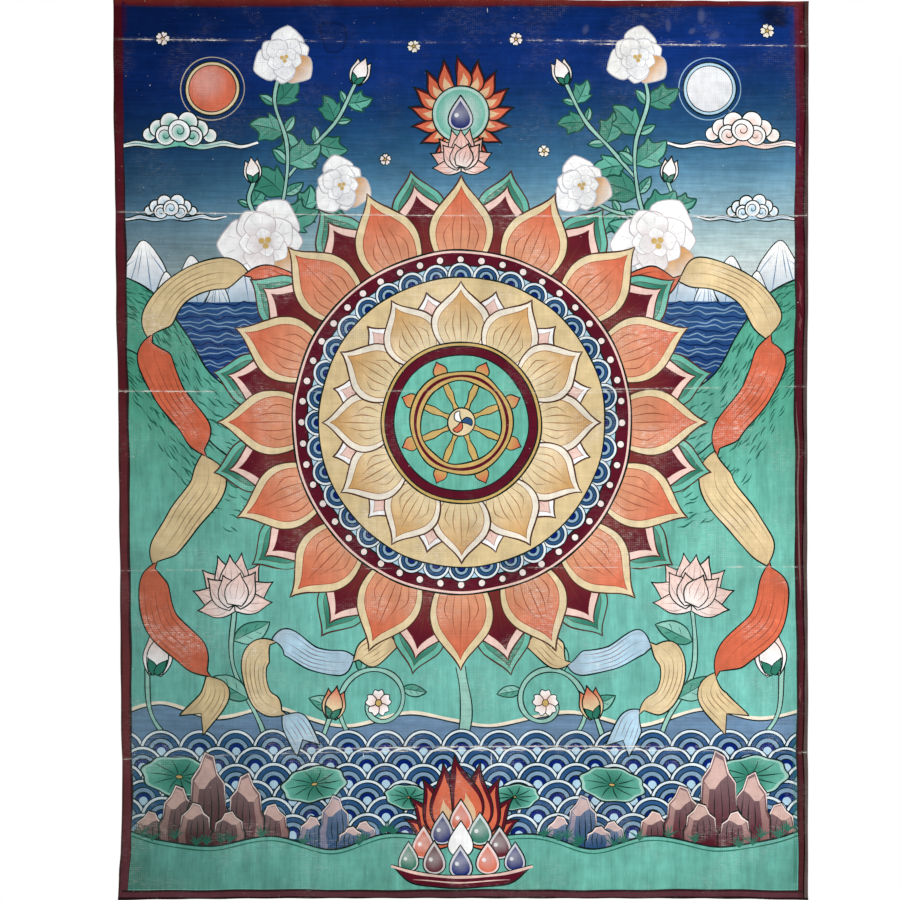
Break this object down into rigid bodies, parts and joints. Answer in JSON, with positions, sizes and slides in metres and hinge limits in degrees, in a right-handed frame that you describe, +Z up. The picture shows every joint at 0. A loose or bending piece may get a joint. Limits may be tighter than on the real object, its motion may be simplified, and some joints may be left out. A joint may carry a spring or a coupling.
{
  "type": "scroll painting",
  "caption": "Unmounted scroll painting: a creased rectangle of primed cotton with a painted dark red border, hung flat by its top edge.",
  "frame": {"origin": "middle of the cloth's top edge, on its back face, where it is fixed to the wall", "axes": "+Z up the cloth, the painted face towards -Y, +X to the right of someone who faces the painting"},
  "size_m": [0.5427, 0.0113, 0.7021],
  "materials": {
    "painted_cotton": "matt mineral paint on chalk-primed cotton"
  },
  "bodies": {
    "root": {"painted_cloth": "painted_cotton"}
  },
  "joints": []
}
